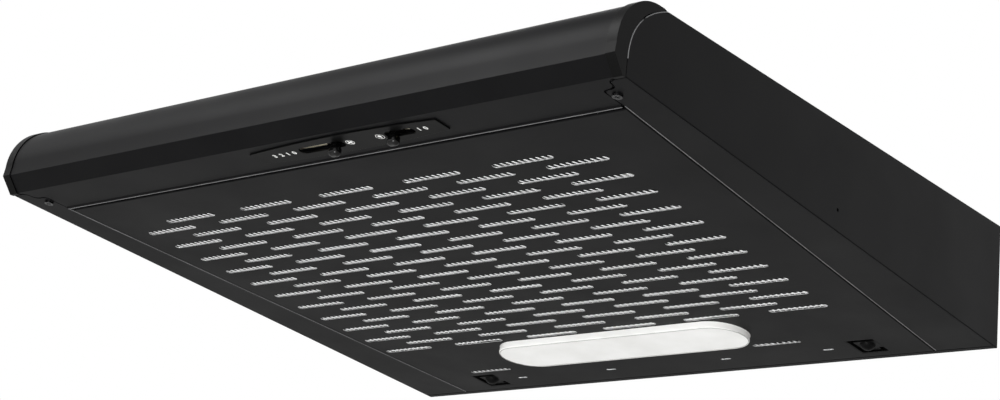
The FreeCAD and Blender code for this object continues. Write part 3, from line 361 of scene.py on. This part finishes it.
fan_mark = bmesh.new()
ring_mark(fan_mark)
for blade in range(BLADES):
    dot_mark(fan_mark, BLADE_OUT, 0, BLADE_HALF, BLADE_FLAT, blade * 2 * pi / BLADES + BLADE_LEAN)
printed("print_fan", fan_mark, FAN_MARK)
lamp_mark = bmesh.new()
ring_mark(lamp_mark)
dot_mark(lamp_mark, 0, GLOBE_UP, GLOBE_HALF)
dot_mark(lamp_mark, 0, -CAP_DOWN, CAP_HALF, CAP_FLAT)
printed("print_lamp", lamp_mark, LAMP_MARK)

# Uncoloured ABS: a warm ivory, dull where the mould was left rough.
ivory_abs = grained("ivory_moulding", "#c9c2ab", "#d6d0bb", patch=15,
                    smooth=0.42, rough=0.52, grain=0.6, depth=0.01, strength=0.12)
coat("fan_switch lamp_switch terminal_block", ivory_abs)

# Grille door ------------------------------------------------------------------------------------------------
# The pressed steel door with its rows of slots, coated like the casing. It swings down on two pins at the
# front and two latches hold its rear edge up.

softened("grille_panel", black_powder, "door", edge=0.16, fold=1.1)
for side in ("left", "right"):
    softened(side + "_latch_tray", black_abs, "door", edge=0.2)
    softened(side + "_latch", black_abs, side + "_latch_body", edge=0.25)

# Punched edges ----------------------------------------------------------------------------------------------
# The slots are punched after the door is coated, so the cut edge inside each is bare steel: a bright line,
# seen where it faces the eye. Four steel clips close short slots along the rear edge. Sizes are millimetres.

STEEL, EDGE_CLEAR, EDGE_LOW = 0.8, 0.04, 0.08
EDGE_SHY, CLIP_SHY = 0.2, 0.05
ROW_FIRST, ROW_STEP, ROWS = -160, 14.5, 22
SLOT_MIDDLE, SLOT_LONG, SLOT_WIDE = -16.4, 53.5, 6
STEP_FIVE, STEP_SIX = 84, 82
SIDE_SLOTS = ((-181, 213, 46, 4.6), (126.5, 213, 46, 4.6))
CLIPS = [(x, 236.5, 10, 2.6) for x in (-162, -61, 61, 162)]


def round_ended(x, y, long, wide, steps):
    """Points round an outline with two half-round ends, each in this many steps."""
    radius, reach = wide / 2, (long - wide) / 2
    turns = [pi * step / steps - pi / 2 for step in range(steps + 1)]
    return [(x + side * (reach + radius * cos(turn)), y + side * radius * sin(turn))
            for side in (1, -1) for turn in turns]


def cut_edge(shape, x, y, long, wide, clip=False):
    """The lining of one slot, and for a clip the face that closes it from above."""
    outline = round_ended(x, y, long - 2 * EDGE_CLEAR, wide - 2 * EDGE_CLEAR, steps=8)
    top = STEEL - (CLIP_SHY if clip else EDGE_SHY)
    lower = [shape.verts.new(under(*place, EDGE_LOW)) for place in outline]
    upper = [shape.verts.new(under(*place, top)) for place in outline]
    for place in range(len(outline)):
        after = (place + 1) % len(outline)
        shape.faces.new((lower[place], upper[place], upper[after], lower[after]))
    if clip:
        shape.faces.new(upper)


lining = bmesh.new()
for row in range(ROWS):
    count, step = (6, STEP_SIX) if row % 2 else (5, STEP_FIVE)
    for column in range(count):
        middle = SLOT_MIDDLE + (column - (count - 1) / 2) * step
        cut_edge(lining, middle, ROW_FIRST + row * ROW_STEP, SLOT_LONG, SLOT_WIDE)
for slot in SIDE_SLOTS:
    cut_edge(lining, *slot)
for steel_clip in CLIPS:
    cut_edge(lining, *steel_clip, clip=True)

# Steel sheared by the punch: bright and finely torn.
cut_steel = grained("bare_cut_steel", "#d9dadb", "#f2f2f2", patch=5,
                    smooth=0.35, rough=0.5, grain=0.6, depth=0.01, strength=0.2,
                    Metallic=1.0)
placed("punched_edges", lining, cut_steel, "door")

# Grease mesh ------------------------------------------------------------------------------------------------
# Expanded aluminium, slit and stretched from bright foil, held above the door by wires. Its strands lean one
# way, then the other, two rows of them to a row of slots, so that each slot shows about ten slanted teeth.

STRAND_PITCH, STRAND_WIDE, STRAND_HIGH, STRAND_LEAN = 5.3, 0.4, 0.35, 4.2
MESH_FRONT, MESH_MIDDLE, MESH_REAR = ROW_FIRST - 10.3, 146.9, 217.2
MESH_ROWS, STRIP_ROWS, CORNER_ROWS = 2 * ROWS, 10, 2
CORNER_FRONT, CORNER_LEFT = MESH_REAR - 8.7, 100
MESH_LOW, MESH_EDGE = 1.25, 5.5
DOOR_FRONT, DOOR_REAR, DOOR_HALF_FRONT, DOOR_HALF_REAR = -204.5, 259.5, 272.6, 247.5
LENS_LEFT, LENS_RIGHT = -141, 126


def mesh_half(y):
    """Half the mesh's width: it follows the door, which narrows towards the wall."""
    share = (y - DOOR_FRONT) / (DOOR_REAR - DOOR_FRONT)
    return DOOR_HALF_FRONT + share * (DOOR_HALF_REAR - DOOR_HALF_FRONT) - MESH_EDGE


def expanded_sheet(shape, front, rear, rows, low=None, high=None):
    """One stretched sheet: a grid whose strands lean one way, then the other, with each cell opened."""
    across = round(((high or mesh_half(front)) - (low or -mesh_half(front))) / STRAND_PITCH)
    grid = bmesh.ops.create_grid(shape, x_segments=across, y_segments=rows, size=0.5)["verts"]
    cells = list({face for corner in grid for face in corner.link_faces})
    for corner in grid:
        column, row = round((corner.co.x + 0.5) * across), round((corner.co.y + 0.5) * rows)
        y = front + row / rows * (rear - front)
        left, right = low or -mesh_half(y), high or mesh_half(y)
        lean = STRAND_LEAN * (0.5 - row % 2) if 0 < column < across else 0
        corner.co = Vector((left + column / across * (right - left) + lean, y, MESH_LOW))
    bmesh.ops.inset_individual(shape, faces=cells, thickness=STRAND_WIDE, use_even_offset=True)
    bmesh.ops.delete(shape, geom=cells, context="FACES_ONLY")


# The main sheet, a strip on each side of the lens, and a tongue behind the lens's round right-hand end.
mesh_shape = bmesh.new()
expanded_sheet(mesh_shape, MESH_FRONT, MESH_MIDDLE, MESH_ROWS)
expanded_sheet(mesh_shape, MESH_MIDDLE, MESH_REAR, STRIP_ROWS, high=LENS_LEFT)
expanded_sheet(mesh_shape, MESH_MIDDLE, MESH_REAR, STRIP_ROWS, low=LENS_RIGHT)
expanded_sheet(mesh_shape, CORNER_FRONT, MESH_REAR, CORNER_ROWS, low=CORNER_LEFT, high=LENS_RIGHT)
for face in mesh_shape.faces:
    face.normal_update()
bmesh.ops.solidify(mesh_shape, geom=mesh_shape.faces, thickness=-STRAND_HIGH)
for corner in mesh_shape.verts:
    corner.co = under(*corner.co)
bmesh.ops.recalc_face_normals(mesh_shape, faces=mesh_shape.faces)

# Aluminium foil, dulled by stretching: it should look nearly white, and these lights alone leave it too dark,
# so a glow of its own makes up the rest.
bright_foil = grained("stretched_aluminium", "#f4f5f5", "#fdfdfd", patch=8,
                      smooth=0.4, rough=0.55, grain=0.9, depth=0.01, strength=0.2,
                      Metallic=1.0, Emission_Color=linear("#ffffff"), Emission_Strength=0.5)
grease_mesh = placed("grease_mesh", mesh_shape, bright_foil, "door")
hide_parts("mesh_filter")

# Lens -------------------------------------------------------------------------------------------------------
# The lamp's window: one shallow pan moulded in frosted white acrylic, pressed through the door from above. A
# fine step runs round its face, and a thin black gasket strip lies on the door between it and the mesh.

LENS_MIDDLE, LENS_BACK, LENS_PROUD = -7.5, 177, 4.95
STEP_LONG, STEP_WIDE = 251.4, 48.4
GASKET_SIZE = (262, 2.7, 0.06)
GASKET_BACK, GASKET_UP = 148.5, 0.85

# Acrylic blasted on one side: an even milky white. A weak glow makes up for the light that scatters inside
# the real pan, which this opaque white doesn't show.
frosted_acrylic = grained("frosted_white_acrylic", "#e4e4e2", "#efefee", patch=40,
                          smooth=0.3, rough=0.38, grain=0.7, depth=0.01, strength=0.1,
                          Emission_Color=linear("#fffdf8"), Emission_Strength=0.1)
softened("lamp_lens", frosted_acrylic, "door", edge=1.2, steps=4)

# The step's own small shadow, as a grey that is light enough to read as the same acrylic.
step_shade = grained("acrylic_step", "#a9a9a7", "#b6b6b4", patch=20,
                     smooth=0.4, rough=0.5, grain=0.7, depth=0.01, strength=0.1)
step_outline = round_ended(LENS_MIDDLE, LENS_BACK, STEP_LONG, STEP_WIDE, steps=12)
moulded_step = [under(x, y, -LENS_PROUD) for x, y in step_outline + step_outline[:1]]
edge_line("lens_step", moulded_step, step_shade, "door")

gasket = bmesh.new()
bmesh.ops.create_cube(gasket, size=1)
bmesh.ops.scale(gasket, verts=gasket.verts, vec=GASKET_SIZE)
for corner in gasket.verts:
    corner.co = under(corner.co.x + LENS_MIDDLE, corner.co.y + GASKET_BACK, corner.co.z + GASKET_UP)
placed("lens_gasket", gasket, black_abs, "door")

# Screws, wires and brackets ---------------------------------------------------------------------------------
# Small steel parts, turned, bent or pressed, that hold the others. Those inside are zinc plated, and the two
# screws at the front corners are blackened.

# Zinc plating, passivated: a pale bluish metal with a fine crystalline bloom.
zinc = grained("zinc_plated_steel", "#a4a7ab", "#c3c5c8", patch=6,
               smooth=0.28, rough=0.42, grain=0.5, depth=0.006, strength=0.15,
               Metallic=1.0)
coat("housing_screws bracket_screws collar_screws motor_shaft", zinc)
coat("motor_bracket filter_wires capacitor_bracket", zinc)
coat("left_hinge_bracket right_hinge_bracket hinge_pins", zinc)

# Steel blackened in a hot salt bath: a dark grey metal with small highlights.
blackened_steel = grained("blackened_screw", "#3a3a3b", "#4c4c4d", patch=4,
                          smooth=0.22, rough=0.34, grain=0.5, depth=0.006, strength=0.15,
                          Metallic=1.0)
softened("rim_screws", blackened_steel, "casing", edge=0.3, steps=3)

# Blower -----------------------------------------------------------------------------------------------------
# The scroll, the inlet ring, the wheel and the outlet box are moulded in dark grey talc-filled polypropylene;
# the motor's can is pressed steel.

# Polypropylene filled with talc: a soft dark grey, a little waxy.
grey_pp = grained("grey_moulded_polypropylene", "#303236", "#3a3c40", patch=30,
                  smooth=0.42, rough=0.55, grain=0.7, depth=0.015, strength=0.15)
coat("blower_housing inlet_ring impeller outlet_duct left_flap right_flap", grey_pp)
coat("terminal_box terminal_box_lid", grey_pp)
softened("duct_collar", grey_pp, "casing", edge=0.3)

# Deep-drawn steel, oiled: a mid grey metal with soft highlights.
pressed_steel = grained("pressed_motor_steel", "#77787a", "#8f9092", patch=14,
                        smooth=0.3, rough=0.44, grain=0.8, depth=0.01, strength=0.1,
                        Metallic=1.0)
coat("motor", pressed_steel)

# Moulded rubber: matt and nearly black.
soft_rubber = grained("soft_black_rubber", "#141414", "#1c1c1c", patch=10,
                      smooth=0.6, rough=0.75, grain=0.6, depth=0.01, strength=0.2)
coat("motor_bushes cable_gland", soft_rubber)

# Electrics and lamp -----------------------------------------------------------------------------------------
# The capacitor's pale can, the white enamelled reflector, the lamp holder and the opal bulb in it.

# Moulded plastic: a pale grey, slightly satin.
pale_can = grained("pale_capacitor_case", "#bcbcb8", "#cbcbc7", patch=12,
                   smooth=0.38, rough=0.48, grain=0.5, depth=0.006, strength=0.1)
coat("capacitor", pale_can)

# Enamel fired on steel: a cool white with a soft gloss.
white_enamel = grained("white_enamel", "#dededc", "#e9e9e7", patch=30,
                       smooth=0.22, rough=0.3, grain=1.4, depth=0.01, strength=0.08)
coat("lamp_reflector", white_enamel)

# Mineral-filled thermoset: a dull off-white.
thermoset = grained("white_thermoset", "#d2d2cd", "#dededa", patch=9,
                    smooth=0.4, rough=0.5, grain=0.5, depth=0.006, strength=0.12)
coat("lamp_holder", thermoset)

# Glass coated white inside: glossy outside, warm white.
opal = grained("opal_glass", "#f0eee8", "#faf8f2", patch=20,
               smooth=0.12, rough=0.18, grain=1.2, depth=0.004, strength=0.05)
coat("lamp_bulb", opal)
